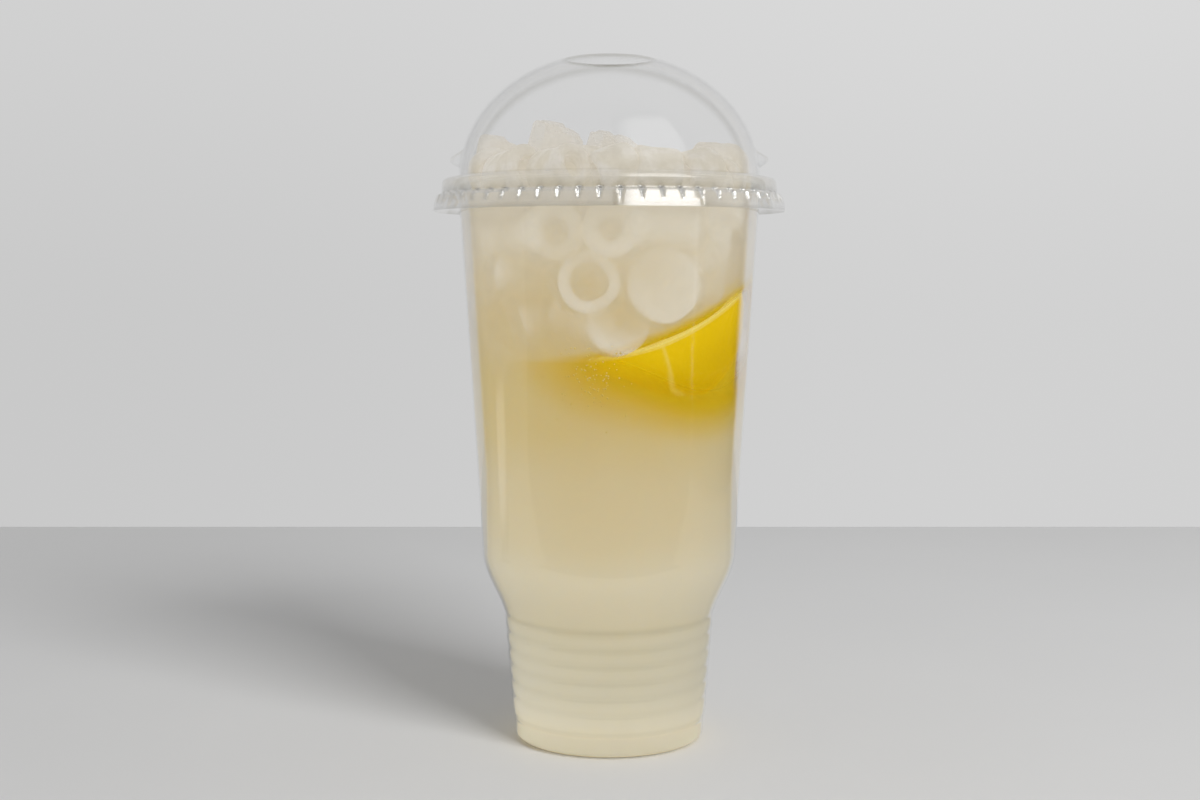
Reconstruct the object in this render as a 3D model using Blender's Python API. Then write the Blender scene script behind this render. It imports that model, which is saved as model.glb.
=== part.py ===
"""Iced lemonade in a clear one litre cup with a pedestal foot and a dome lid.

Every separate piece is one object: the cup, the lid, the drink up to its level, and the tubes of ice that stand out of
it. The origin is the middle of the foot, +Z is up, and the front is at -Y. Lengths are in metres. Outlines are lists of
(radius, height) points that are spun round Z.
"""

import math

import bmesh
import bpy

GAP = 0.0003  # between pieces that touch

# Cup, outside sizes. The body is a cone, and below it a shoulder sweeps in to the ribbed pedestal.
CUP_HEIGHT = 0.180
CUP_WALL = 0.0008
CUP_STEPS = 40
BODY_TOP_RADIUS = 0.0483
SHOULDER_TOP_RADIUS, SHOULDER_TOP_Z = 0.0411, 0.0621
SHOULDER_FOOT_RADIUS, SHOULDER_FOOT_Z = 0.0340, 0.0408
SHOULDER_SWEEP = 1.45
SHOULDER_BENDS = 5
PEDESTAL_FOOT_RADIUS, PEDESTAL_FOOT_Z = 0.0316, 0.0090
GROOVES = 6
GROOVE_PITCH = 0.0053
GROOVE_DEPTH = 0.00035
FOOT_RADIUS, FOOT_TOP_Z = 0.0309, 0.0070
FOOT_CONTACT_RADIUS = 0.0294
RECESS_RADIUS, RECESS_HEIGHT = 0.0235, 0.0030
CURL_RADIUS = 0.0022
CURL_BENDS = 4

# Lid, outside sizes. The dome is half an ellipsoid, the bead clips over the cup's rim, and the skirt flares out.
LID_WALL = 0.0006
DOME_RADIUS, DOME_RISE = 0.0480, 0.0397
DOME_FOOT_Z = 0.18095
STRAW_HOLE_RADIUS = 0.0140
DOME_ANGLES = (60, 47, 35, 23, 14, 8.5, 4, 0)
BEAD_RADIUS = 0.0535
SKIRT_TOP_Z, SKIRT_FOLD_Z, SKIRT_BOTTOM_Z = 0.1766, 0.1730, 0.1705
SKIRT_FOLD_RADIUS, SKIRT_BOTTOM_RADIUS = 0.0559, 0.0564
FLUTES = 56
FLUTE_DEPTH = 0.0009
LUG_REACH = {8.5: 0.0034, 4: 0.0016}  # how far a lug stands out at each dome angle
LUG_TURNS = (0, 180)

# Drink
LEVEL = 0.1762

# Ice tubes. Each row holds the middle of the lower end, the tilt from upright, the heading of the tilt counted from +X
# towards +Y, the length, the radius, and how much is broken off the upper end on the side of its heading.
ICE_STEPS = 12
ICE_HOLE = 0.52  # of the radius
ICE_ROUND = 0.0011
ICE_TUBES = {
    "ice_tube_left": (-0.0373, 0.0020, 0.1675, 8, 0, 0.0270, 0.0083, 0.0040),
    "ice_tube_tall": (-0.0222, 0.0118, 0.1700, 12, 10, 0.0300, 0.0088, 0.0030),
    "ice_tube_back": (-0.0050, 0.0280, 0.1710, 20, 330, 0.0270, 0.0092, 0.0020),
    "ice_tube_front_left": (-0.0300, -0.0180, 0.1635, 8, 20, 0.0225, 0.0088, 0.0020),
    "ice_tube_front": (-0.0100, -0.0270, 0.1620, 6, 60, 0.0270, 0.0097, 0.0025),
    "ice_tube_front_right": (0.0112, -0.0285, 0.1620, 9, 330, 0.0205, 0.0090, 0.0030),
    "ice_tube_middle": (0.0030, 0.0010, 0.1640, 14, 100, 0.0260, 0.0095, 0.0040),
    "ice_tube_right": (0.0320, -0.0120, 0.1640, 9, 40, 0.0270, 0.0091, 0.0030),
    "ice_tube_right_back": (0.0210, 0.0200, 0.1660, 12, 60, 0.0230, 0.0090, 0.0020),
}

for old in list(bpy.data.objects):
    bpy.data.objects.remove(old, do_unlink=True)


def material(name, colour, roughness, transmission=0.0):
    """A Principled material of one plain colour."""
    made = bpy.data.materials.new(name)
    made.use_nodes = True
    shader = made.node_tree.nodes["Principled BSDF"]
    shader.inputs["Base Color"].default_value = (*colour, 1.0)
    shader.inputs["Roughness"].default_value = roughness
    shader.inputs["Metallic"].default_value = 0.0
    shader.inputs["Transmission Weight"].default_value = transmission
    return made


def spun(outline, steps):
    """The solid that a closed outline sweeps round Z. Points on the axis become single poles."""
    solid = bmesh.new()
    points = [solid.verts.new((r, 0.0, z)) for r, z in outline]
    edges = [solid.edges.new(pair) for pair in zip(points, points[1:] + points[:1])]
    bmesh.ops.spin(
        solid,
        geom=points + edges,
        cent=(0, 0, 0),
        axis=(0, 0, 1),
        angle=math.tau,
        steps=steps,
        use_merge=True,
    )
    bmesh.ops.dissolve_degenerate(solid, dist=1e-6, edges=solid.edges)
    bmesh.ops.remove_doubles(solid, verts=solid.verts, dist=1e-6)
    bmesh.ops.recalc_face_normals(solid, faces=solid.faces)
    return solid


def piece(name, solid, surface):
    """A named object for a solid, shaded smooth up to its sharp edges."""
    mesh = bpy.data.meshes.new(name)
    solid.to_mesh(mesh)
    solid.free()
    mesh.shade_smooth()
    mesh.set_sharp_from_angle(angle=math.radians(32))
    made = bpy.data.objects.new(name, mesh)
    made.data.materials.append(surface)
    bpy.context.collection.objects.link(made)
    return made


def inset(line, depth):
    """The line moved to its left by depth with mitred corners. A point on the axis stays on it."""
    moved = []
    for i, (r, z) in enumerate(line):
        before, after = line[max(i - 1, 0)], line[min(i + 1, len(line) - 1)]
        ways = [(b[0] - a[0], b[1] - a[1]) for a, b in ((before, (r, z)), ((r, z), after)) if a != b]
        sides = [(-dz / math.hypot(dr, dz), dr / math.hypot(dr, dz)) for dr, dz in ways]
        across = (sum(s[0] for s in sides), sum(s[1] for s in sides))
        reach = depth * len(sides) / (across[0] ** 2 + across[1] ** 2)
        moved.append((0.0 if r == 0 else r + across[0] * reach, z + across[1] * reach))
    return moved


def wall_line(grooved):
    """The cup's outside from the middle of its base up to just under the rim."""
    line = [
        (0.0, RECESS_HEIGHT),
        (RECESS_RADIUS, RECESS_HEIGHT),
        (RECESS_RADIUS + 0.0025, 0.0),
        (FOOT_CONTACT_RADIUS, 0.0),
        (FOOT_RADIUS, 0.0022),
        (FOOT_RADIUS, FOOT_TOP_Z),
    ]
    lean = (SHOULDER_FOOT_RADIUS - PEDESTAL_FOOT_RADIUS) / (SHOULDER_FOOT_Z - PEDESTAL_FOOT_Z)
    if grooved:
        line.append((PEDESTAL_FOOT_RADIUS, PEDESTAL_FOOT_Z))
        for i in range(2 * GROOVES - 1):
            z = SHOULDER_FOOT_Z - (2 * GROOVES - 1 - i) * GROOVE_PITCH / 2
            r = PEDESTAL_FOOT_RADIUS + lean * (z - PEDESTAL_FOOT_Z)
            line.append((r - GROOVE_DEPTH * (1 - i % 2), z))
        line.append((SHOULDER_FOOT_RADIUS - GROOVE_DEPTH, SHOULDER_FOOT_Z))
    else:
        line.append((PEDESTAL_FOOT_RADIUS - GROOVE_DEPTH, PEDESTAL_FOOT_Z))
        line.append((SHOULDER_FOOT_RADIUS - GROOVE_DEPTH, SHOULDER_FOOT_Z))
    for i in range(1, SHOULDER_BENDS + 1):
        part = i / SHOULDER_BENDS
        swept = math.sin(part * math.pi / 2) ** SHOULDER_SWEEP
        r = SHOULDER_FOOT_RADIUS + (SHOULDER_TOP_RADIUS - SHOULDER_FOOT_RADIUS) * swept
        line.append((r, SHOULDER_FOOT_Z + (SHOULDER_TOP_Z - SHOULDER_FOOT_Z) * part))
    return line


def body_radius(z):
    """The outside radius of the cup's body at height z."""
    part = (z - SHOULDER_TOP_Z) / (CUP_HEIGHT - CURL_RADIUS - SHOULDER_TOP_Z)
    return SHOULDER_TOP_RADIUS + (BODY_TOP_RADIUS - SHOULDER_TOP_RADIUS) * part


# Cup: the sheet runs up the wall and rolls outwards over the rim
curl_hollow = CURL_RADIUS - CUP_WALL
sheet = wall_line(grooved=True)
for i in range(CURL_BENDS + 2):
    turn = math.pi - i * math.pi / CURL_BENDS
    sheet.append(
        (
            BODY_TOP_RADIUS + curl_hollow + curl_hollow * math.cos(turn),
            CUP_HEIGHT - CURL_RADIUS + curl_hollow * math.sin(turn),
        )
    )
cup_solid = spun(sheet + inset(sheet, CUP_WALL)[::-1], CUP_STEPS)
piece("cup", cup_solid, material("clear_cup_plastic", (0.93, 0.95, 0.94), 0.05, 0.9))

# Lid: the dome comes down to the bead and the skirt, outside first
hole_angle = math.degrees(math.acos(STRAW_HOLE_RADIUS / DOME_RADIUS))
shell = []
for angle in (hole_angle, *DOME_ANGLES):
    turn = math.radians(angle)
    shell.append((DOME_RADIUS * math.cos(turn), DOME_FOOT_Z + DOME_RISE * math.sin(turn)))
shell += [
    (BEAD_RADIUS - 0.0019, DOME_FOOT_Z),
    (BEAD_RADIUS - 0.0004, DOME_FOOT_Z - 0.0010),
    (BEAD_RADIUS, DOME_FOOT_Z - 0.0023),
    (BEAD_RADIUS, SKIRT_TOP_Z),
    (SKIRT_FOLD_RADIUS, SKIRT_FOLD_Z),
    (SKIRT_BOTTOM_RADIUS, SKIRT_BOTTOM_Z),
]
lining = inset(shell, -LID_WALL)
lid_solid = spun(shell + lining[::-1], FLUTES)


def on_ring(vert, point):
    """True if the vertex lies on the circle that the outline's point swept."""
    return abs(math.hypot(vert.co.x, vert.co.y) - point[0]) < 1e-5 and abs(vert.co.z - point[1]) < 1e-5


for line in (shell, lining):
    # Each flute is pressed in between two ridges at the top of the skirt, and runs out at the fold
    ring = line[-3]
    edges = [e for e in lid_solid.edges if all(on_ring(v, ring) for v in e.verts)]
    pressed = bmesh.ops.subdivide_edges(lid_solid, edges=edges, cuts=1)["geom_inner"]
    for vert in (v for v in pressed if isinstance(v, bmesh.types.BMVert)):
        vert.co.xy *= (ring[0] - FLUTE_DEPTH) / vert.co.xy.length
    # Each lug is a hollow bump low on the dome
    for angle, reach in LUG_REACH.items():
        ring = line[1 + DOME_ANGLES.index(angle)]
        for turn in (math.radians(t) for t in LUG_TURNS):
            way = (math.cos(turn), math.sin(turn))
            for vert in lid_solid.verts:
                if on_ring(vert, ring) and vert.co.x * way[0] + vert.co.y * way[1] > 0.999 * ring[0]:
                    vert.co.xy *= 1 + reach / ring[0]
piece("dome_lid", lid_solid, material("clear_lid_plastic", (0.94, 0.95, 0.95), 0.05, 0.9))


def ice_outline(radius, length, grow=0.0):
    """A tube with its outer edges melted round, made larger all over by grow."""
    outer, inner = radius + grow, radius * ICE_HOLE - grow
    return [
        (inner, -grow),
        (outer - ICE_ROUND, -grow),
        (outer, ICE_ROUND - grow),
        (outer, length + grow - ICE_ROUND),
        (outer - ICE_ROUND, length + grow),
        (inner, length + grow),
    ]


# Ice: the tubes that stand out of the drink, and a pocket in the drink for each
pockets = bpy.data.collections.new("ice_pockets")
bpy.context.scene.collection.children.link(pockets)
for name, (x, y, z, tilt, heading, length, radius, broken) in ICE_TUBES.items():
    tube = spun(ice_outline(radius, length), ICE_STEPS)
    for vert in tube.verts:
        if vert.co.z > length / 2:
            vert.co.z -= broken * max(0.0, vert.co.x / radius)
    ice = piece(name, tube, material(f"{name}_ice", (0.90, 0.89, 0.84), 0.25, 0.4))
    pocket = bpy.data.objects.new(f"{name}_pocket", bpy.data.meshes.new(f"{name}_pocket"))
    grown = spun(ice_outline(radius, length, GAP), ICE_STEPS)
    grown.to_mesh(pocket.data)
    grown.free()
    pocket.hide_render = True
    pocket.display_type = "WIRE"
    pockets.objects.link(pocket)
    for placed in (ice, pocket):
        placed.location = (x, y, z)
        placed.rotation_euler = (0.0, math.radians(tilt), math.radians(heading))

# Drink: it fills the cup to its level, clear of the wall by the gap
poured = wall_line(grooved=False)
poured.append((body_radius(LEVEL), LEVEL))
surface = inset(poured, CUP_WALL + GAP)
surface[-1] = (surface[-1][0], LEVEL)
surface.append((0.0, LEVEL))
drink = piece("lemonade", spun(surface, CUP_STEPS), material("cloudy_lemonade", (0.60, 0.50, 0.25), 0.15))
cut = drink.modifiers.new("ice_pockets", "BOOLEAN")
cut.operand_type = "COLLECTION"
cut.collection = pockets
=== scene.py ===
"""Looks of an iced lemonade in a clear plastic cup with a dome lid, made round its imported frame.

The sections follow the drink as it is put together: cup, lid, lemon half, sunk ice, drink, bubbles, and the
ice that stands out of the drink. The studio with its camera comes last. Lengths are in metres, +Z is up and
the front is at -Y. A heading is an angle in degrees round the cup's axis, from the front towards the right.
"""

import math

import bpy
import numpy as np
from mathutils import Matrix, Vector
from mathutils.bvhtree import BVHTree


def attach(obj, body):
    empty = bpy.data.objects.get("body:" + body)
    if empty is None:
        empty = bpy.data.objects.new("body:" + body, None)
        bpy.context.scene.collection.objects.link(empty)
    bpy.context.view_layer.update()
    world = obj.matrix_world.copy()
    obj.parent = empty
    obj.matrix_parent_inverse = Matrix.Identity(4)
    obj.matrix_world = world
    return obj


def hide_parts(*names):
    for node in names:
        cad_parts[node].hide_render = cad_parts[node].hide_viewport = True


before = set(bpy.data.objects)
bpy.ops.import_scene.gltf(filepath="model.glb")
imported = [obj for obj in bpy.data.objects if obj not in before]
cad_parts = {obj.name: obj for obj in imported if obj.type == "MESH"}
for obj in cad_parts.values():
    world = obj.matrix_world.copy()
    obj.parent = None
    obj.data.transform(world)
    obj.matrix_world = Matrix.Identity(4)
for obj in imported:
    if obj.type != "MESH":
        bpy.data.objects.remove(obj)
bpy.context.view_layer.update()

# Cup. A clear plastic sheet drawn into a mould: a cone on a swept shoulder, and under it a ribbed pedestal
# that fits a cup holder. The base is pushed up inside the foot ring, and the rim is rolled outwards for the
# lid to clip over.
CUP_HEIGHT = 0.180
CUP_WALL = 0.0008
CUP_SEGMENTS = 224
CURL_RADIUS = 0.0022
RIM_Z = CUP_HEIGHT - CURL_RADIUS
BODY_TOP_RADIUS = 0.0483
SHOULDER_TOP_RADIUS, SHOULDER_TOP_Z = 0.0411, 0.0621
SHOULDER_FOOT_RADIUS, SHOULDER_FOOT_Z = 0.0340, 0.0408
SHOULDER_SWEEP = 1.45  # power of the sine that the shoulder follows
PEDESTAL_FOOT_RADIUS, PEDESTAL_FOOT_Z = 0.0316, 0.0090
RIBS = 6
RIB_PITCH = 0.0053
RIB_DEPTH = 0.00026
PEDESTAL_OVERHANG = 0.0004  # of the pedestal over the foot
FOOT_RADIUS, FOOT_TOP_Z = 0.0309, 0.0066
FOOT_CONTACT_RADIUS, FOOT_CURVE_Z = 0.0292, 0.0022
RECESS_RADIUS, RECESS_HEIGHT, RECESS_CORNER = 0.0235, 0.0030, 0.0025
OUTSIDE_SPACING, LINING_SPACING = 0.00045, 0.0015
EDGE_BAND = 0.60  # turn away from the eye, of 1, at which the plastic's bright edge begins
EDGE_BAND_WIDTH = 0.08


class Wire:
    """A socket of a material's nodes. Sums on it add the Math nodes that work them out."""

    def __init__(self, tree, socket=None):
        self.tree = tree
        self.socket = socket

    def node(self, kind, settings=None, sockets=None, out=0):
        """The output of a new node: its settings are set first, then values and links go to its sockets."""
        made = self.tree.nodes.new("ShaderNode" + kind)
        for key, value in (settings or {}).items():
            if key == "stops":
                ramp = made.color_ramp
                ramp.elements[0].position, ramp.elements[0].color = value[0][0], (*value[0][1], 1.0)
                ramp.elements[1].position, ramp.elements[1].color = value[-1][0], (*value[-1][1], 1.0)
                for place, colour in value[1:-1]:
                    ramp.elements.new(place).color = (*colour, 1.0)
            else:
                setattr(made, key, value)
        for key, value in (sockets or {}).items():
            if isinstance(value, Wire):
                self.tree.links.new(value.socket, made.inputs[key])
            elif isinstance(value, tuple) and made.inputs[key].type == "RGBA":
                made.inputs[key].default_value = (*value, 1.0)
            else:
                made.inputs[key].default_value = value
        return Wire(self.tree, made.outputs[out] if made.outputs else None)

    def sum_with(self, operation, first, second):
        """The output of a Math node on two values or wires."""
        return self.node("Math", {"operation": operation}, {0: first, 1: second})

    def __add__(self, other):
        return self.sum_with("ADD", self, other)

    __radd__ = __add__

    def __sub__(self, other):
        return self.sum_with("SUBTRACT", self, other)

    def __rsub__(self, other):
        return self.sum_with("SUBTRACT", other, self)

    def __mul__(self, other):
        return self.sum_with("MULTIPLY", self, other)

    __rmul__ = __mul__

    def __truediv__(self, other):
        return self.sum_with("DIVIDE", self, other)

    def __rtruediv__(self, other):
        return self.sum_with("DIVIDE", other, self)

    def __pow__(self, other):
        return self.sum_with("POWER", self, other)

    def step(self, low, high):
        """0 where this value is below low, 1 where it is above high, and a smooth rise between."""
        limits = {"Value": self, "From Min": low, "From Max": high}
        return self.node("MapRange", {"interpolation_type": "SMOOTHSTEP"}, limits)

    def paint(self, first, second):
        """The first colour where this value is 0, and the second where it is 1."""
        return self.node("Mix", {"data_type": "RGBA"}, {0: self, 6: first, 7: second}, out=2)


def start_material(name):
    """A new material without nodes, and a wire to add them by."""
    made = bpy.data.materials.new(name)
    made.use_nodes = True
    made.node_tree.nodes.clear()
    return made, Wire(made.node_tree)


def wall_radius(z):
    """The outside radius of the cup's wall at heights z, without the ribs."""
    z = np.asarray(z, float)
    up = (z - SHOULDER_TOP_Z) / (RIM_Z - SHOULDER_TOP_Z)
    body = SHOULDER_TOP_RADIUS + (BODY_TOP_RADIUS - SHOULDER_TOP_RADIUS) * up
    part = np.clip((z - SHOULDER_FOOT_Z) / (SHOULDER_TOP_Z - SHOULDER_FOOT_Z), 0, 1)
    swept = np.sin(part * math.pi / 2) ** SHOULDER_SWEEP
    shoulder = SHOULDER_FOOT_RADIUS + (SHOULDER_TOP_RADIUS - SHOULDER_FOOT_RADIUS) * swept
    lean = (SHOULDER_FOOT_RADIUS - PEDESTAL_FOOT_RADIUS) / (SHOULDER_FOOT_Z - PEDESTAL_FOOT_Z)
    pedestal = PEDESTAL_FOOT_RADIUS + lean * (z - PEDESTAL_FOOT_Z)
    return np.where(z > SHOULDER_TOP_Z, body, np.where(z > SHOULDER_FOOT_Z, shoulder, pedestal))


def rib_press(z):
    """How far the grooves between the ribs are pressed in at heights z."""
    turn = (SHOULDER_FOOT_Z - np.asarray(z, float)) / RIB_PITCH
    ribbed = (turn > -0.5) & (turn < RIBS - 0.5)
    return np.where(ribbed, RIB_DEPTH * np.cos(math.pi * turn) ** 4, 0.0)


def arc(centre, radii, start, end, steps):
    """Points (radius, height) on an ellipse's arc, with its angles in degrees from +r towards +z."""
    turns = np.radians(np.linspace(start, end, steps))
    return np.stack([centre[0] + radii[0] * np.cos(turns), centre[1] + radii[1] * np.sin(turns)], 1)


def wall_line(inset, spacing):
    """The wall from the middle of the base up to the rim, moved inwards by inset."""
    foot = [(0.0, RECESS_HEIGHT + inset), (RECESS_RADIUS - inset, RECESS_HEIGHT + inset)]
    contact = FOOT_CONTACT_RADIUS - inset
    edge = FOOT_RADIUS - inset
    foot_arc = arc((contact, FOOT_CURVE_Z), (edge - contact, FOOT_CURVE_Z - inset), -90, 0, 7)
    ledge = [(RECESS_RADIUS + RECESS_CORNER - inset, inset)]
    z = np.arange(PEDESTAL_FOOT_Z, RIM_Z, spacing)
    side = np.stack([wall_radius(z) - rib_press(z) - inset, z], 1)
    top = [(BODY_TOP_RADIUS - inset, RIM_Z)]
    step = arc((edge, PEDESTAL_FOOT_Z), (PEDESTAL_OVERHANG, PEDESTAL_FOOT_Z - FOOT_TOP_Z), -90, -20, 4)
    return np.concatenate([foot, ledge, foot_arc, [(edge, FOOT_TOP_Z - 0.0006)], step, side, top])


def turned(outline, segments):
    """Points and faces of an outline turned round Z, which runs from axis to axis or is a closed loop."""
    outline = np.asarray(outline, float)
    closed = outline[0][0] > 0
    ends = outline[[0, -1]]
    rings = outline if closed else outline[1:-1]
    turns = np.linspace(0, math.tau, segments, endpoint=False)
    r, z = rings[:, :1], rings[:, 1:]
    points = np.stack([r * np.cos(turns), r * np.sin(turns), z + 0 * turns], 2).reshape(-1, 3)
    here = np.arange(segments)
    there = (here + 1) % segments
    faces = []
    for i in range(len(rings) - (0 if closed else 1)):
        low, high = i * segments, (i + 1) % len(rings) * segments
        faces += np.stack([low + here, low + there, high + there, high + here], 1).tolist()
    if not closed:
        first, last = len(points), len(points) + 1
        top = (len(rings) - 1) * segments
        points = np.concatenate([points, [(0, 0, ends[0][1]), (0, 0, ends[1][1])]])
        faces += [(first, int(b), int(a)) for a, b in zip(here, there)]
        faces += [(last, int(top + a), int(top + b)) for a, b in zip(here, there)]
    return points, faces


def add_piece(name, points, faces, surface, slot, sharp=40):
    """A named mesh that rides with the drink, shaded smooth but for edges sharper than sharp degrees."""
    mesh = bpy.data.meshes.new(name)
    mesh.from_pydata(np.asarray(points).tolist(), [], faces)
    mesh.shade_smooth()
    mesh.set_sharp_from_angle(angle=math.radians(sharp))
    mesh.materials.append(surface)
    made = bpy.data.objects.new(name, mesh)
    bpy.context.scene.collection.objects.link(made)
    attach(made, "root")
    return made


def set_values(piece, name, values):
    """Stores one number a vertex on a piece, for its material to read."""
    layer = piece.data.attributes.new(name, "FLOAT", "POINT")
    layer.data.foreach_set("value", np.asarray(values, np.float32))


def clear_plastic(name, tint, gloss, edge, narrow, ripples):
    """Thin clear plastic: light goes straight through it, and it mirrors more as its surface turns away.

    Where it is nearly edge on it mirrors by edge, in a band that is narrower by narrow at the piece's foot.
    It reads three values from its piece: shine for folds that mirror more, a second value for painted shade
    that darkens what is seen through creases and edges, and a third for a painted milky glow. A dim band
    just before the bright edge is painted shade as well.
    """
    made, wire = start_material(name)
    place = wire.node("TexCoord", out="Object")
    height = wire.node("SeparateXYZ", {}, {0: place}, out=2)
    swell = wire.node("TexNoise", {}, {"Vector": place, "Scale": 55.0, "Detail": 2.0})
    drawn = wire.node("VectorMath", {"operation": "MULTIPLY"}, {0: place, 1: (420.0, 420.0, 30.0)})
    streak = wire.node("TexNoise", {}, {"Vector": drawn, "Scale": 1.0, "Detail": 1.0})
    normal = wire.node("Bump", {}, {"Height": swell + streak * 0.12, "Strength": ripples, "Distance": 0.002})
    away = wire.node("LayerWeight", {}, {"Blend": 0.5}, out="Facing")
    begins = EDGE_BAND + narrow * (1 - height.step(0.045, 0.095))
    shine = wire.node("Attribute", {"attribute_name": "shine"}, out="Fac")
    crease = wire.node("Attribute", {"attribute_name": "crease"}, out="Fac")
    haze = wire.node("Attribute", {"attribute_name": "haze"}, out="Fac")
    at_edge = away.step(begins, begins + EDGE_BAND_WIDTH)
    share = gloss + shine + at_edge * edge + (1 - gloss - edge) * away**6.0
    # Painted shade: creases, and a band just before the bright edge, let less light through and look darker.
    before_edge = away.step(begins - 0.10, begins) * (1 - away.step(begins, begins + 0.04))
    painted_darkening = crease + before_edge * 0.08
    clear = wire.node("BsdfTransparent", {}, {"Color": tint})
    painted_dark = wire.node("BsdfTransparent", {}, {"Color": (0.42, 0.40, 0.33)})
    # A painted glow from no lamp: it stands in for the drink and ice seen through the bead and for light
    # reflected inside it.
    painted_milky_glow = wire.node("Emission", {}, {"Color": (0.66, 0.62, 0.53)})
    passed = wire.node("MixShader", {}, {0: painted_darkening, 1: clear, 2: painted_dark})
    through = wire.node("MixShader", {}, {0: haze, 1: passed, 2: painted_milky_glow})
    gleam = {"Color": (1.0, 1.0, 1.0), "Roughness": 0.08, "Normal": normal}
    mirror = wire.node("BsdfAnisotropic", {}, gleam)
    mixed = wire.node("MixShader", {}, {0: share, 1: through, 2: mirror})
    wire.node("OutputMaterial", {}, {"Surface": mixed})
    return made


curl_centre = (BODY_TOP_RADIUS + CURL_RADIUS - CUP_WALL, RIM_Z)
curl_inside = arc(curl_centre, (CURL_RADIUS - CUP_WALL,) * 2, 180, -60, 18)
curl_outside = arc(curl_centre, (CURL_RADIUS,) * 2, -60, 180, 20)
outside = wall_line(0.0, OUTSIDE_SPACING)
lining = wall_line(CUP_WALL, LINING_SPACING)[::-1]
cup_outline = np.concatenate([outside[:-1], curl_inside, curl_outside, lining[1:]])
cup_tint = (0.992, 0.993, 0.992)
cup_plastic = clear_plastic("cup_plastic", cup_tint, gloss=0.036, edge=0.52, narrow=0.14, ripples=0.05)
points, faces = turned(cup_outline, CUP_SEGMENTS)
cup = add_piece("clear_cup", points, faces, cup_plastic, "cup")
height = points[:, 2]
middle_of_wall = wall_radius(height) - rib_press(height) - CUP_WALL / 2
on_outside = np.hypot(points[:, 0], points[:, 1]) > middle_of_wall
in_groove = rib_press(height) / RIB_DEPTH
under_shoulder = np.exp(-(((height - SHOULDER_FOOT_Z) / 0.0008) ** 2))
over_foot = np.exp(-(((height - PEDESTAL_FOOT_Z + 0.0012) / 0.0005) ** 2))
# Painted shade: darker bands in the grooves between the ribs, under the shoulder and just above the foot.
crease_shading = 0.06 * in_groove + 0.10 * under_shoulder + 0.15 * over_foot
set_values(cup, "shine", np.where(height > RIM_Z - 0.003, -0.30, 0))
set_values(cup, "crease", np.where(on_outside & (height < SHOULDER_TOP_Z), crease_shading, 0))
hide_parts("cup")

# Lid. Thinner clear sheet drawn into a mould: a dome with a round hole for the straw, a bead that clips
# over the cup's rim, and a flared skirt. Small notches pressed into the skirt's top stiffen it, and two
# hollow lugs stand out low on the dome.
LID_WALL = 0.0006
LID_SEGMENTS = 56 * 12
DOME_RADIUS, DOME_RISE, DOME_FOOT_Z = 0.0480, 0.0397, 0.18095
STRAW_HOLE_RADIUS = 0.0140
LEDGE_WIDTH, LEDGE_DROP = 0.0012, 0.0006  # of the ledge between dome and bead
BEAD_RADIUS = 0.0535
BEAD_ROUND, BEAD_RISE = 0.0019, 0.00215
COVE_WIDTH, COVE_DROP = 0.0012, 0.0010  # of the hollow under the bead
SKIRT_TOP_Z, SKIRT_COVE_Z, SKIRT_FOLD_Z, SKIRT_BOTTOM_Z = 0.1766, 0.1753, 0.1730, 0.1705
SKIRT_COVE_RADIUS, SKIRT_FOLD_RADIUS, SKIRT_BOTTOM_RADIUS = 0.0551, 0.0559, 0.0564
SKIRT_STEPS = 8  # of the mesh down the notched part
NOTCHES = 56
NOTCH_DEPTH = 0.0011
NOTCH_SHARE = 0.34  # of the pitch, at its top
NOTCH_FOOT_Z = 0.1724
LUG_REACH = 0.0034
LUG_Z, LUG_HEIGHT = 0.1872, 0.0021
LUG_WIDTH = 3.4  # degrees of the dome
LUG_HEADINGS = (90, 270)


def offset_line(line, depth):
    """The line moved to its right by depth, with mitred corners."""
    line = np.asarray(line, float)
    ways = np.diff(line, axis=0)
    ways /= np.linalg.norm(ways, axis=1)[:, None]
    right = np.stack([ways[:, 1], -ways[:, 0]], 1)
    across = np.concatenate([right[:1], right[:-1] + right[1:], right[-1:]])
    sides = np.array([1] + [2] * (len(line) - 2) + [1])
    return line + across * (depth * sides / (across**2).sum(1))[:, None]


hole_angle = math.degrees(math.acos(STRAW_HOLE_RADIUS / DOME_RADIUS))
dome_line = arc((0, DOME_FOOT_Z), (DOME_RADIUS, DOME_RISE), hole_angle, 1.3, 42)
ledge_centre = (DOME_RADIUS + LEDGE_WIDTH, DOME_FOOT_Z + LEDGE_DROP)
ledge_line = arc(ledge_centre, (LEDGE_WIDTH, LEDGE_DROP), 180, 270, 5)
bead_line = arc((BEAD_RADIUS - BEAD_ROUND, SKIRT_TOP_Z + 0.0022), (BEAD_ROUND, BEAD_RISE), 90, 0, 9)
cove_line = arc((BEAD_RADIUS + COVE_WIDTH, SKIRT_TOP_Z), (COVE_WIDTH, COVE_DROP), 180, 262, 6)
skirt_line = [
    (SKIRT_COVE_RADIUS - 0.0002, SKIRT_COVE_Z + 0.0003),
    (SKIRT_COVE_RADIUS, SKIRT_COVE_Z),
    *(
        (SKIRT_COVE_RADIUS + (SKIRT_FOLD_RADIUS - SKIRT_COVE_RADIUS) * k / SKIRT_STEPS,
         SKIRT_COVE_Z - 0.0023 * k / SKIRT_STEPS)
        for k in range(1, SKIRT_STEPS)
    ),
    (SKIRT_FOLD_RADIUS, SKIRT_FOLD_Z),
    (SKIRT_FOLD_RADIUS + 0.0002, SKIRT_FOLD_Z - 0.0008),
    (SKIRT_BOTTOM_RADIUS, SKIRT_BOTTOM_Z),
]
lid_line = np.concatenate([dome_line, ledge_line, bead_line, cove_line, skirt_line])
lid_outline = np.concatenate([lid_line, offset_line(lid_line, LID_WALL)[::-1]])[::-1]
points, faces = turned(lid_outline, LID_SEGMENTS)
radius = np.hypot(points[:, 0], points[:, 1])
turn = np.degrees(np.arctan2(points[:, 1], points[:, 0]))
height = points[:, 2]
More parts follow.
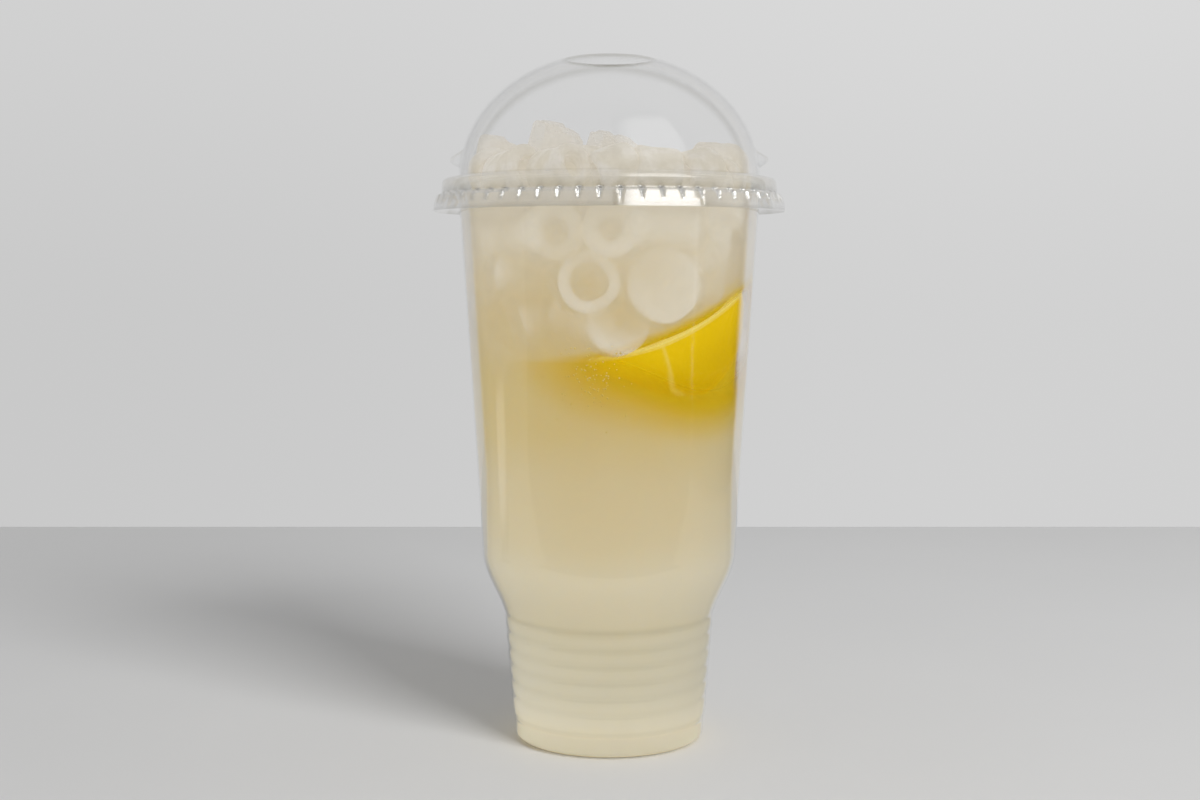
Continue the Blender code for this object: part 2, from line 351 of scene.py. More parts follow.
across_notch = np.abs((turn / 360 * NOTCHES) % 1 - 0.5)
down = np.clip((SKIRT_TOP_Z - height) / (SKIRT_TOP_Z - NOTCH_FOOT_Z), 0, 1)
in_skirt = (height < SKIRT_TOP_Z + 0.0002) & (radius > BEAD_RADIUS - 0.002)
notch_half = NOTCH_SHARE / 2 * (1 - down) + 0.02
notch = np.clip(1 - across_notch / notch_half, 0, 1) * (1 - down) ** 0.7
notch = np.where(in_skirt, notch * np.clip(down * 8, 0, 1), 0)
beside_notch = np.exp(-(((across_notch - notch_half) / 0.045) ** 2))
notch_side = beside_notch * in_skirt * (down > 0.05) * (down < 0.98)
pressed = -NOTCH_DEPTH * notch
for heading in LUG_HEADINGS:
    away = (turn - heading + 90 + 180) % 360 - 180
    low_on_dome = (height > DOME_FOOT_Z + 0.0004) & (radius < DOME_RADIUS + 0.0001)
    bump = np.exp(-((away / LUG_WIDTH) ** 4)) * np.exp(-(((height - LUG_Z) / LUG_HEIGHT) ** 4))
    pressed = pressed + np.where(low_on_dome, LUG_REACH * bump, 0)
points[:, :2] *= (1 + pressed / radius)[:, None]
lid_tint = (0.994, 0.995, 0.996)
lid_plastic = clear_plastic("lid_plastic", lid_tint, gloss=0.016, edge=0.24, narrow=0.0, ripples=0.04)
lid = add_piece("clear_dome_lid", points, faces, lid_plastic, "dome_lid")
in_bead = (radius > DOME_RADIUS + 0.0002) & (height > SKIRT_TOP_Z) & (height < DOME_FOOT_Z + 0.0007)
at_ledge = np.exp(-(((radius - DOME_RADIUS) / 0.0004) ** 2)) * (height < DOME_FOOT_Z + 0.0009)
at_cove = np.exp(-(((height - SKIRT_TOP_Z) / 0.0005) ** 2)) * (radius > BEAD_RADIUS - 0.001)
at_bottom = np.clip(1 - (height - SKIRT_BOTTOM_Z) / 0.0004, 0, 1)
at_hole = np.clip(1 - (radius - STRAW_HOLE_RADIUS) / 0.0005, 0, 1) * (height > DOME_FOOT_Z + 0.03)
on_skirt = height < SKIRT_TOP_Z - 0.0004
# Painted shade: thin dark lines at the ledge, the cove under the bead, the skirt's lower edge, the straw
# hole and the sides of the notches.
crease_shading = 0.14 * at_ledge + 0.10 * at_cove + 0.18 * at_bottom + 0.75 * at_hole + 0.20 * notch_side
set_values(lid, "shine", np.where(on_skirt, 0.14, 0) + 0.05 * in_bead + 0.6 * notch**0.5)
set_values(lid, "crease", crease_shading)
# Painted glow, strong in the bead and faint in the skirt.
set_values(lid, "haze", 0.16 * in_bead + 0.02 * in_skirt)
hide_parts("dome_lid")

# Lemon half. Cut across and dropped in with its cut side up, it lies against the wall at the front right.
# The peel is waxy and pored, with a nick in it that shows the white pith, and the cut side has its ring of
# pith and ten segments.
LEVEL = 0.1762  # of the drink
LEMON_RADIUS = 0.0330
LEMON_LENGTH = 0.0335  # from the cut side to where the nose begins
LEMON_NOSE = 0.0045
LEMON_FULLNESS = 0.86  # 1 for a half ball, less for one that bulges
LEMON_UNEVENNESS = 0.0007
LEMON_SIDES = 240  # of the mesh
LEMON_CENTRE = Vector((0.0095, -0.0105, 0.1380))
LEMON_SLOPE = (0.298, 0.317)  # of the cut side, rising towards +X and +Y
LEMON_SEGMENTS = 10
PEEL = 0.0042
MEMBRANE = 0.0013  # between the segments
FLESH_DIP = 0.0009  # of the flesh under its membranes
# the nick in the peel: x, z and half width along it
NICK = [(0.0140, 0.1310, 0.0003), (0.0161, 0.1285, 0.0005), (0.0180, 0.1220, 0.0005),
        (0.0189, 0.1160, 0.0006), (0.0233, 0.1120, 0.0013), (0.0291, 0.1050, 0.0013)]
CLEARANCE = 0.0003  # of sunk things from the inside of the wall
# The next two set how sunk things are lit: a painted glow stands in for the light that the cloudy drink
# scatters onto them, and their base colour is darkened to a share, painted shade for the studio light that
# the drink holds back.
SCATTERED_GLOW = 0.88  # light that reaches sunk things from the cloudy drink all round them
LIT = 0.55  # share of the studio's light that gets down to them


def waves(points, size, seed):
    """Slow smooth bumps of about the given size at each point, from -1 to 1, the same each run."""
    random = np.random.default_rng(seed)
    total = 0.0
    for _ in range(6):
        way = random.normal(size=3)
        way *= math.tau * random.uniform(0.6, 1.5) / size / np.linalg.norm(way)
        total = total + np.sin(points @ way + random.uniform(0, math.tau))
    return total / 3.5


def drink_colour(wire, height, gain):
    """The drink's colour at a height: paler low down, and yellower at the lemon's height, painted light that
    the lemon throws into the drink round it.
    """
    looks = [(0.00, (0.700, 0.600, 0.400)), (0.06, (0.610, 0.555, 0.430)),
             (0.20, (0.570, 0.522, 0.395)), (0.33, (0.610, 0.542, 0.396)),
             (0.40, (0.590, 0.512, 0.345)), (0.50, (0.578, 0.495, 0.310)),
             (0.58, (0.565, 0.465, 0.240)), (0.68, (0.553, 0.446, 0.206)),
             (0.80, (0.558, 0.454, 0.248)), (0.90, (0.600, 0.522, 0.380)),
             (1.00, (0.610, 0.548, 0.450))]
    stops = [(place, tuple(gain * part for part in colour)) for place, colour in looks]
    return wire.node("ValToRGB", {"stops": stops}, {"Fac": height / LEVEL})


def behind_wall(wire, place):
    """How far a point in the body of the cup lies behind the inside of its wall."""
    x, y, z = [wire.node("SeparateXYZ", {}, {0: place}, out=k) for k in range(3)]
    lean = (BODY_TOP_RADIUS - SHOULDER_TOP_RADIUS) / (RIM_Z - SHOULDER_TOP_Z)
    return (z - SHOULDER_TOP_Z) * lean + (SHOULDER_TOP_RADIUS - CUP_WALL) - (x * x + y * y) ** 0.5


def sunk_surface(wire, colour, sockets):
    """Finishes the material of something sunk: a painted glow stands in for the light of the drink round it,
    and a darkened base colour is painted shade for the studio light that the drink holds back.
    """
    dimmed_base = wire.node("VectorMath", {"operation": "SCALE"}, {0: colour, "Scale": LIT})
    shader = wire.node("BsdfPrincipled", {}, {
        "Base Color": dimmed_base, "Emission Color": colour, "Emission Strength": SCATTERED_GLOW,
        "Specular IOR Level": 0.08, **sockets})
    wire.node("OutputMaterial", {}, {"Surface": shader})


def within(points, room):
    """Points with those further than room from the cup's axis pulled in to it."""
    reach = np.hypot(points[:, 0], points[:, 1])
    pulled = points.copy()
    pulled[:, :2] *= np.minimum(1, room / np.maximum(reach, 1e-6))[:, None]
    return pulled


lemon_up = Vector((-LEMON_SLOPE[0], -LEMON_SLOPE[1], 1.0)).normalized()
side = np.linspace(0, 1, 90)
peel_r = LEMON_RADIUS * np.cos(side * math.pi / 2) ** LEMON_FULLNESS
peel_z = -LEMON_LENGTH * np.sin(side * math.pi / 2) - LEMON_NOSE * np.clip(side - 0.8, 0, 1) ** 1.5 * 11
peel_line = np.stack([peel_r, peel_z], 1)[1:]
peel_line[-1, 0] = 0.0
cut_line = [(0.0, -0.0004)]
cut_line += [(r, -0.0004 * (1 - r / LEMON_RADIUS)) for r in np.linspace(0.001, LEMON_RADIUS - 0.0007, 42)]
cut_line += [(LEMON_RADIUS - 0.0002, -0.0002), (LEMON_RADIUS, -0.0007)]
outline = np.concatenate([cut_line, peel_line])[::-1]
points, faces = turned(outline, LEMON_SIDES)
ring = np.hypot(points[:, 0], points[:, 1])
angle = np.arctan2(points[:, 1], points[:, 0])
on_cut = points[:, 2] > -0.0006
in_flesh = on_cut & (ring < LEMON_RADIUS - PEEL)
segment = np.abs((angle / math.tau * LEMON_SEGMENTS) % 1 - 0.5) * 2
membrane = np.clip((segment - (1 - MEMBRANE / np.maximum(ring, 0.002))) * 6, 0, 1)
membrane = np.maximum(membrane, np.clip((0.0035 - ring) / 0.001, 0, 1))
flesh = np.where(in_flesh, 1 - membrane, 0)
points[:, 2] -= FLESH_DIP * flesh
outward = points / np.maximum(np.linalg.norm(points, axis=1), 1e-6)[:, None]
uneven = LEMON_UNEVENNESS * waves(points, 0.030, 3) * np.clip(-points[:, 2] / 0.01, 0, 1)
points += outward * uneven[:, None]
turn_to = Vector((0, 0, 1)).rotation_difference(lemon_up).to_matrix()
points = points @ np.array(turn_to).T + np.array(LEMON_CENTRE)
points = within(points, wall_radius(points[:, 2]) - CUP_WALL - CLEARANCE)
nick = np.zeros(len(points))
for (x0, z0, half0), (x1, z1, half1) in zip(NICK, NICK[1:]):
    dx, dz = points[:, 0] - x0, points[:, 2] - z0
    run, rise = x1 - x0, z1 - z0
    along = np.clip((dx * run + dz * rise) / (run**2 + rise**2), 0, 1)
    gap = np.hypot(dx - along * run, dz - along * rise)
    nick = np.maximum(nick, np.clip(1.6 - gap / (half0 + along * (half1 - half0)), 0, 1))
nick *= (points[:, 1] < LEMON_CENTRE.y) & ~on_cut
lemon_shape = (points, faces)

lemon_skin, wire = start_material("lemon_half")
place = wire.node("TexCoord", out="Object")
pores = wire.node("TexVoronoi", {}, {"Vector": place, "Scale": 620.0}, out="Distance")
mottle = wire.node("TexNoise", {}, {"Vector": place, "Scale": 90.0, "Detail": 3.0})
x, y, z = [wire.node("SeparateXYZ", {}, {0: place}, out=k) for k in range(3)]
along_cut = (x - LEMON_CENTRE.x) * LEMON_SLOPE[0] + (y - LEMON_CENTRE.y) * LEMON_SLOPE[1]
below_cut = (LEMON_CENTRE.z - z) + along_cut
ripe = mottle.paint((0.50, 0.318, 0.001), (0.57, 0.372, 0.002))
yellow = below_cut.step(0.001, 0.018).paint((0.64, 0.43, 0.003), ripe)
pulp_grain = wire.node("TexNoise", {}, {"Vector": place, "Scale": 260.0, "Detail": 4.0})
pulp = pulp_grain.paint((0.62, 0.50, 0.20), (0.68, 0.58, 0.32))
pith = (0.68, 0.54, 0.13)
cut_share = wire.node("Attribute", {"attribute_name": "cut_side"}, out="Fac")
flesh_share = wire.node("Attribute", {"attribute_name": "flesh"}, out="Fac")
nick_share = wire.node("Attribute", {"attribute_name": "nick"}, out="Fac")
cut_colour = flesh_share.paint(pith, pulp)
skin = (nick_share * 0.45).paint(cut_share.paint(yellow, cut_colour), pith)
veiled = behind_wall(wire, place).step(0.006, 0.018).paint(skin, drink_colour(wire, z, 0.80))
dimple = wire.node("Bump", {}, {"Height": pores, "Strength": 0.25, "Distance": 0.0006})
sunk_surface(wire, veiled, {"Roughness": 0.38, "Normal": dimple})
lemon = add_piece("lemon_half", *lemon_shape, lemon_skin, "lemonade", sharp=50)
set_values(lemon, "cut_side", on_cut)
set_values(lemon, "flesh", flesh)
set_values(lemon, "nick", nick)

# Sunk ice. Tubes of cloudy ice as a machine freezes them, half melted, packed against each other and the
# wall under the drink's surface. Those that show at the front lie where the photo has them, and the rest
# are strewn round them.
TUBE_SIDES = 44
TUBE_CORNER = 0.0017  # rounding of a tube's outer edges
TUBE_STEPS = 10  # of the mesh along it
# seen end on: heading and height of the end's middle, its gap to the wall, heading and pitch that it faces,
# length, radius, share of the hole
END_ON_TUBES = [
    (-8.8, 0.1486, 0.0014, -7, 3, 0.0200, 0.0092, 0.62),
    (21.6, 0.1478, 0.0009, 13, 4, 0.0170, 0.0114, 0.04),
    (0.4, 0.1640, 0.0016, 0, 2, 0.0200, 0.0086, 0.42),
    (-21.5, 0.1635, 0.0018, -18, -6, 0.0200, 0.0088, 0.46),
    (4.0, 0.1366, 0.0030, 10, 16, 0.0200, 0.0098, 0.12),
]
# seen from the side: heading and height of the middle, gap to the wall, heading and pitch along it, length,
# radius
SIDE_ON_TUBES = [
    (-45.0, 0.1625, 0.0024, 40, 8, 0.0290, 0.0100),
    (-39.0, 0.1500, 0.0034, 60, -14, 0.0240, 0.0092),
    (22.0, 0.1655, 0.0010, 112, -5, 0.0230, 0.0090),
    (50.0, 0.1550, 0.0016, 30, 76, 0.0260, 0.0098),
    (52.0, 0.1690, 0.0012, 140, 10, 0.0200, 0.0080),
    (-26.0, 0.1400, 0.0035, 70, 22, 0.0230, 0.0094),
    (-13.0, 0.1372, 0.0027, 78, -20, 0.0190, 0.0086),
    (-40.0, 0.1330, 0.0052, 50, 30, 0.0200, 0.0086),
    (35.0, 0.1525, 0.0018, 120, 40, 0.0170, 0.0080),
    (36.0, 0.1455, 0.0022, 128, 28, 0.0210, 0.0072),
]
SIDE_ON_HOLE = 0.5
STREWN_TUBES = 34
STREWN_TRIES = 4000
STREWN_HEADINGS = (62, 312)
STREWN_HEIGHTS = (0.1300, 0.1668)
STREWN_DEPTHS = (0.0105, 0.0135)  # of their middles behind the wall
TUBE_LENGTHS, TUBE_RADII, TUBE_HOLES = (0.017, 0.023), (0.0082, 0.0100), (0.38, 0.58)
TUBES_APART = 0.0158  # least distance between their middles
LEMON_APART = 0.036  # and from the middle of the lemon's cut side
SUNK_TOP_Z = LEVEL - 0.0004


def ice_tube(length, radius, hole, seed, melt=0.0004):
    """Points and faces of one melted tube along Z, round the origin. Its hole is a share of its radius."""
    inner = radius * hole
    low, high = -length / 2, length / 2
    rounding = (TUBE_CORNER, TUBE_CORNER)
    foot_corner = arc((radius - TUBE_CORNER, low + TUBE_CORNER), rounding, -90, 0, 6)
    top_corner = arc((radius - TUBE_CORNER, high - TUBE_CORNER), rounding, 0, 90, 6)
    side_z = np.linspace(low + TUBE_CORNER, high - TUBE_CORNER, TUBE_STEPS)[1:-1]
    outside = np.stack([np.full(len(side_z), radius), side_z], 1)
    hole_z = np.linspace(high - 0.0010, low + 0.0010, TUBE_STEPS)
    mouth = [(inner + 0.0008, high), (inner + 0.0002, high - 0.0004)]
    foot = [(inner + 0.0002, low + 0.0004), (inner + 0.0008, low)]
    bore = np.stack([np.full(len(hole_z), inner), hole_z], 1)
    outline = np.concatenate([foot, foot_corner, outside, top_corner, mouth, bore])
    points, faces = turned(outline, TUBE_SIDES)
    shift = np.stack([waves(points, 0.016, seed + k) for k in range(3)], 1)
    return points + melt * shift, faces


def turned_to(points, way):
    """Points along Z turned to lie along another direction."""
    return points @ np.array(Vector((0, 0, 1)).rotation_difference(Vector(way)).to_matrix()).T


def toward(heading, pitch=0.0):
    """The unit vector at a heading and a pitch above the level, in degrees."""
    level = math.cos(math.radians(pitch))
    x, y = math.sin(math.radians(heading)), -math.cos(math.radians(heading))
    return Vector((x * level, y * level, math.sin(math.radians(pitch))))


def joined(shapes):
    """Several shapes of points and faces as one."""
    points, faces, count = [], [], 0
    for some_points, some_faces in shapes:
        points.append(some_points)
        faces += [[count + i for i in face] for face in some_faces]
        count += len(some_points)
    return np.concatenate(points), faces


def behind(heading, z, depth):
    """The place at a heading and a height, at a depth behind the inside of the wall."""
    return toward(heading) * (float(wall_radius(z)) - CUP_WALL - depth) + Vector((0, 0, z))


random = np.random.default_rng(11)
rows, middles = [], []
for heading, z, gap, faces_to, pitch, length, tube_radius, hole in END_ON_TUBES:
    rows.append((faces_to, pitch, length, tube_radius, hole))
    middles.append(behind(heading, z, gap) - toward(faces_to, pitch) * (length / 2))
for heading, z, gap, along, pitch, length, tube_radius in SIDE_ON_TUBES:
    rows.append((along, pitch, length, tube_radius, SIDE_ON_HOLE))
    middles.append(behind(heading, z, gap + tube_radius))
front_count = len(rows)
for _ in range(STREWN_TRIES):
    if len(rows) == front_count + STREWN_TUBES:
        break
    heading, z = random.uniform(*STREWN_HEADINGS), random.uniform(*STREWN_HEIGHTS)
    middle = behind(heading, z, random.uniform(*STREWN_DEPTHS))
    nearest = min((middle - other).length for other in middles)
    if nearest < TUBES_APART or (middle - LEMON_CENTRE).length < LEMON_APART:
        continue
    rows.append((random.uniform(0, 360), random.uniform(-80, 80), random.uniform(*TUBE_LENGTHS),
                 random.uniform(*TUBE_RADII), random.uniform(*TUBE_HOLES)))
    middles.append(middle)
tubes = []
for seed, ((faces_to, pitch, length, tube_radius, hole), middle) in enumerate(zip(rows, middles)):
    points, faces = ice_tube(length, tube_radius, hole, 10 * seed)
    points = turned_to(points, toward(faces_to, pitch)) + np.array(middle)
    points = within(points, wall_radius(points[:, 2]) - CUP_WALL - CLEARANCE)
    points[:, 2] = np.minimum(points[:, 2], SUNK_TOP_Z)
    tubes.append((points, faces))
sunk_shape = joined(tubes)

sunk_finish, wire = start_material("sunk_ice")
place = wire.node("TexCoord", out="Object")
height = wire.node("SeparateXYZ", {}, {0: place}, out=2)
milk = wire.node("TexNoise", {}, {"Vector": place, "Scale": 130.0, "Detail": 3.0})
frost = milk.paint((0.575, 0.530, 0.435), (0.615, 0.572, 0.490))
sunk_colour = behind_wall(wire, place).step(0.0004, 0.0050).paint(frost, drink_colour(wire, height, 0.80))
rough = wire.node("Bump", {}, {"Height": milk, "Strength": 0.10, "Distance": 0.0008})
sunk_surface(wire, sunk_colour, {"Roughness": 0.5, "Normal": rough})
add_piece("sunk_ice", *sunk_shape, sunk_finish, "ice", sharp=60)

# Drink. Cloudy lemonade fills the cup to just under its rim, and reaches just into the wall. It is clear
# enough to show what lies right behind its surface, so it thins out over the ice and the lemon and is thick
# elsewhere.
WALL_REACH = 0.0003
DRINK_SEGMENTS, DRINK_SPACING = 300, 0.0009
MENISCUS = 0.0006  # how far the drink climbs the wall, and how wide
ICE_SHOWS = 0.0035  # gap at which ice has faded to about a third
LEMON_SHOWS = 0.018  # gap at which the lemon has faded away
LEMON_TOP_SHOWS = 0.007  # the same above its cut side, where ice covers it


def lemon_nearness(points):
    """1 at the lemon, falling to 0 where it is too far off to show, and faster above its cut side."""
    nearest = [lemon_tree.find_nearest(p) for p in points.tolist()]
    gap = np.array([found[3] for found in nearest])
    above = np.array([max(0.0, p[2] - found[0].z) for p, found in zip(points.tolist(), nearest)])
    return np.clip(1 - gap / LEMON_SHOWS - above / LEMON_TOP_SHOWS, 0, 1)


drink_line = wall_line(CUP_WALL - WALL_REACH, DRINK_SPACING)
drink_line = drink_line[drink_line[:, 1] < LEVEL - 0.0004]
level_radius = float(wall_radius(LEVEL)) - CUP_WALL + WALL_REACH
top_r = np.linspace(level_radius - 0.002, 0.001, 40)
surface_line = [(level_radius, LEVEL), (level_radius - MENISCUS, LEVEL - 0.0004)]
surface_line += [(r, LEVEL - MENISCUS) for r in top_r] + [(0.0, LEVEL - MENISCUS)]
points, faces = turned(np.concatenate([drink_line, surface_line]), DRINK_SEGMENTS)
ice_tree = BVHTree.FromPolygons(sunk_shape[0].tolist(), sunk_shape[1])
lemon_tree = BVHTree.FromPolygons(lemon_shape[0].tolist(), lemon_shape[1])
ice_gap = np.array([ice_tree.find_nearest(p)[3] for p in points.tolist()])

lemonade, wire = start_material("cloudy_lemonade")
place = wire.node("TexCoord", out="Object")
height = wire.node("SeparateXYZ", {}, {0: place}, out=2)
swirl = wire.node("TexNoise", {}, {"Vector": place, "Scale": 28.0, "Detail": 3.0, "Distortion": 0.6})
by_height = drink_colour(wire, height + (swirl - 0.5) * 0.012, 1.38)
ice_close = wire.node("Attribute", {"attribute_name": "ice_near"}, out="Fac")
lemon_close = wire.node("Attribute", {"attribute_name": "lemon_near"}, out="Fac")
paler = (ice_close * 0.8).paint(by_height, (0.86, 0.79, 0.66))
# Over the lemon the drink takes the lemon's yellow: partly the fruit seen through the thinned drink, partly
# painted light that the lemon throws into the drink round it.
tinted = lemon_close.step(0.10, 0.72).paint(paler, (0.76, 0.52, 0.015))
thick = (1 - ice_close * 0.75) * (1 - lemon_close.step(0.50, 0.95) * 0.97)
glow = height.step(0.001, 0.024).paint((0.18, 0.150, 0.082), (0.0, 0.0, 0.0))  # light gathered in the foot
drink_shader = wire.node("BsdfPrincipled", {}, {
    "Base Color": tinted, "Emission Color": glow, "Emission Strength": 1.0, "Roughness": 0.3,
    "Alpha": thick, "Specular IOR Level": 0.1, "Subsurface Weight": 1.0,
    "Subsurface Radius": (1.0, 0.95, 0.8), "Subsurface Scale": 0.06})
wire.node("OutputMaterial", {}, {"Surface": drink_shader})
drink = add_piece("cloudy_lemonade", points, faces, lemonade, "lemonade")
set_values(drink, "ice_near", np.exp(-ice_gap / ICE_SHOWS))
set_values(drink, "lemon_near", lemon_nearness(points))
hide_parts("lemonade")

# The drink's thick middle: the depth at which nothing shows through the cloudy lemonade any more. It shows
# between the pieces of ice, which stand out of it by a few millimetres at most, and it gives way round the
# lemon, so that the drink over the fruit looks clear.
CORE_DEPTH = 0.0030  # behind the wall
CORE_CLEAR = 0.0065  # depth down to which the lemon shows in front of it
CORE_LOW_Z, CORE_HIGH_Z = 0.074, 0.1745
CORE_LOW_RADIUS, CORE_HIGH_RADIUS = 0.020, 0.038
CORE_LOW_BEVEL, CORE_HIGH_BEVEL = 0.002, 0.0025
CORE_UNEVENNESS = 0.15  # of CORE_DEPTH
CORE_SIDES = 200  # of the mesh
CLEARED_HEADING, CLEARED_FADE = 66, 14  # degrees to each side of the front, where it gives way

core_z = np.linspace(CORE_LOW_Z + CORE_LOW_BEVEL, CORE_HIGH_Z - CORE_HIGH_BEVEL, 70)
core_r = wall_radius(core_z) - CUP_WALL - 0.0002
core_line = np.concatenate([
    [(0.0, CORE_LOW_Z), (CORE_LOW_RADIUS, CORE_LOW_Z)],
    np.stack([core_r, core_z], 1),
    [(CORE_HIGH_RADIUS, CORE_HIGH_Z), (0.0, CORE_HIGH_Z)]])
core_points, core_faces = turned(core_line, CORE_SIDES)
lemon_off = np.array([lemon_tree.find_nearest(p)[3] for p in core_points.tolist()])
dent = np.interp(lemon_off, [0.0, 0.0015, CORE_CLEAR, LEMON_SHOWS], [0.0, 0.0, CORE_CLEAR - 0.0015, 0.0])
heading = np.degrees(np.arctan2(core_points[:, 0], -core_points[:, 1]))
dent *= np.clip((CLEARED_HEADING - np.abs(heading)) / CLEARED_FADE, 0, 1)
pushed = CORE_DEPTH * (1 + CORE_UNEVENNESS * waves(core_points, 0.025, 5)) + dent
from_axis = np.hypot(core_points[:, 0], core_points[:, 1])
core_points[:, :2] *= np.clip(1 - pushed / np.maximum(from_axis, 1e-6), 0, 1)[:, None]
core_finish, wire = start_material("thick_lemonade")
place = wire.node("TexCoord", out="Object")
height = wire.node("SeparateXYZ", {}, {0: place}, out=2)
cloud = wire.node("TexNoise", {}, {"Vector": place, "Scale": 45.0, "Detail": 3.0})
lemon_close = wire.node("Attribute", {"attribute_name": "lemon_near"}, out="Fac")
core_plain = drink_colour(wire, height + (cloud - 0.5) * 0.02, 0.80)
# Round the lemon the thick drink is painted yellow, painted light that the lemon throws into the drink round
# it.
core_colour = lemon_close.step(0.10, 0.72).paint(core_plain, (0.50, 0.35, 0.01))
sunk_surface(wire, core_colour, {"Roughness": 0.6})
core = add_piece("thick_lemonade", core_points, core_faces, core_finish, "lemonade")
set_values(core, "lemon_near", lemon_nearness(core_points))

# Bubbles. Air has come out of the drink where the lemon's peel nears the wall. It clings to the inside of
# the wall in small beads, most of them under the lemon's left end.
BUBBLES = 100
BUBBLE_RADII = (0.00014, 0.00034)
# middle and spread of the headings and heights
BUBBLE_HEADING, BUBBLE_HEADING_SPREAD = -6.5, 7.5
BUBBLE_Z, BUBBLE_Z_SPREAD = 0.1190, 0.0055

random = np.random.default_rng(31)
beads = []
for _ in range(BUBBLES):
    heading = random.normal(BUBBLE_HEADING, BUBBLE_HEADING_SPREAD)
    z = random.normal(BUBBLE_Z, BUBBLE_Z_SPREAD)
    bead_radius = random.uniform(*BUBBLE_RADII)
    points, faces = turned(arc((0, 0), (bead_radius, bead_radius), -90, 90, 7), 8)
    beads.append((points + np.array(behind(heading, z, bead_radius / 2 - WALL_REACH)), faces))
bubble_skin, wire = start_material("bubbles")
place = wire.node("TexCoord", out="Object")
# Noise paints some beads a brighter yellow than others, a painted gleam.
gleam = wire.node("TexNoise", {}, {"Vector": place, "Scale": 1500.0})
sunk_surface(wire, gleam.paint((0.37, 0.265, 0.055), (0.50, 0.385, 0.12)), {"Roughness": 0.2})
add_piece("bubbles", *joined(beads), bubble_skin, "lemonade")

# Ice above the drink. The same tubes, standing out of the drink into the dome: hollow, milky inside, clear
# and melted at the edges, and broken off unevenly at their upper ends. A weak light of their own stands for
# what they scatter.
# Each row: middle of the lower end, tilt, its direction from +X towards +Y, length, radius, broken off
STANDING_TUBES = {
    "left": (-0.0373, 0.0020, 0.1675, 8, 0, 0.0270, 0.0083, 0.0040),
    "tall": (-0.0222, 0.0118, 0.1700, 12, 10, 0.0300, 0.0088, 0.0030),
    "back": (-0.0050, 0.0280, 0.1710, 20, 330, 0.0270, 0.0092, 0.0020),
    "front_left": (-0.0300, -0.0180, 0.1635, 8, 20, 0.0225, 0.0088, 0.0020),
    "front": (-0.0100, -0.0270, 0.1620, 6, 60, 0.0270, 0.0097, 0.0025),
    "front_right": (0.0112, -0.0285, 0.1620, 9, 330, 0.0205, 0.0090, 0.0030),
    "middle": (0.0030, 0.0010, 0.1640, 14, 100, 0.0260, 0.0095, 0.0040),
    "right": (0.0320, -0.0120, 0.1640, 9, 40, 0.0270, 0.0091, 0.0030),
    "right_back": (0.0210, 0.0200, 0.1660, 12, 60, 0.0230, 0.0090, 0.0020),
}
TUBE_HOLE = 0.52
JAG = 0.0016  # of the broken ends
STANDING_MELT = 0.0003  # these are less melted than the sunk ones

wet_ice, wire = start_material("wet_ice")
place = wire.node("TexCoord", out="Object")
milk = wire.node("TexNoise", {}, {"Vector": place, "Scale": 150.0, "Detail": 4.0})
chips = wire.node("TexVoronoi", {}, {"Vector": place, "Scale": 240.0}, out="Distance")
height = wire.node("SeparateXYZ", {}, {0: place}, out=2)
# The ice is painted yellower low down: painted light that the drink under it throws up onto it.
yellowed_by_drink_light = height.step(0.180, 0.198).paint((0.345, 0.318, 0.262), (0.345, 0.325, 0.290))
cloudy = milk.step(0.35, 0.65).paint(yellowed_by_drink_light, (0.365, 0.345, 0.310))
clear = (1 - height.step(0.185, 0.197) * 0.5) * (0.80 + milk.step(0.3, 0.7) * 0.2)
uneven = wire.node("Bump", {}, {"Height": milk + chips * 0.4, "Strength": 0.25, "Distance": 0.0010})
ice_shader = wire.node("BsdfPrincipled", {}, {
    "Base Color": cloudy, "Emission Color": cloudy, "Emission Strength": 1.10, "Roughness": 0.45,
    "Specular IOR Level": 0.06, "Alpha": clear, "Normal": uneven})
wire.node("OutputMaterial", {}, {"Surface": ice_shader})
for seed, (name, row) in enumerate(STANDING_TUBES.items()):
    x, y, z, tilt, direction, length, tube_radius, broken = row
    points, faces = ice_tube(length, tube_radius, TUBE_HOLE, 500 + 10 * seed, melt=STANDING_MELT)
    points[:, 2] += length / 2
    upper = np.clip(points[:, 2] / length * 2 - 1, 0, 1)
    points[:, 2] -= upper * broken * np.clip(points[:, 0] / tube_radius, 0, 1)
    jag = np.clip(waves(points * (1, 1, 0.2), 0.007, 700 + seed), 0, 1)
    points[:, 2] -= upper**3 * JAG * jag
    lean, to = math.radians(tilt), math.radians(direction)
    way = Vector((math.sin(lean) * math.cos(to), math.sin(lean) * math.sin(to), math.cos(lean)))
    spin = np.array([(math.cos(to), math.sin(to), 0), (-math.sin(to), math.cos(to), 0), (0, 0, 1)])
    points = turned_to(points @ spin, way) + np.array((x, y, z))
    melted = add_piece(f"standing_ice_{name}", points, faces, wet_ice, "ice", sharp=60)
    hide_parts(f"ice_tube_{name}")

# Heaped ice. More of the same tubes, shorter ones, lie between those that stand, so closely that the foot
# of the lid is full of them. They rest on the sunk ice and lean on each other.
HEAPED_ROWS = [(15, 0.0375, 0.1815), (9, 0.0225, 0.1805), (3, 0.0080, 0.1800)]  # pieces, radius, height
HEAPED_LENGTHS, HEAPED_RADII = (0.012, 0.017), (0.0068, 0.0080)
HEAPED_UNEVENNESS = 0.0012
HEAP_CLEARANCE = 0.0014  # from the outside of wall and dome

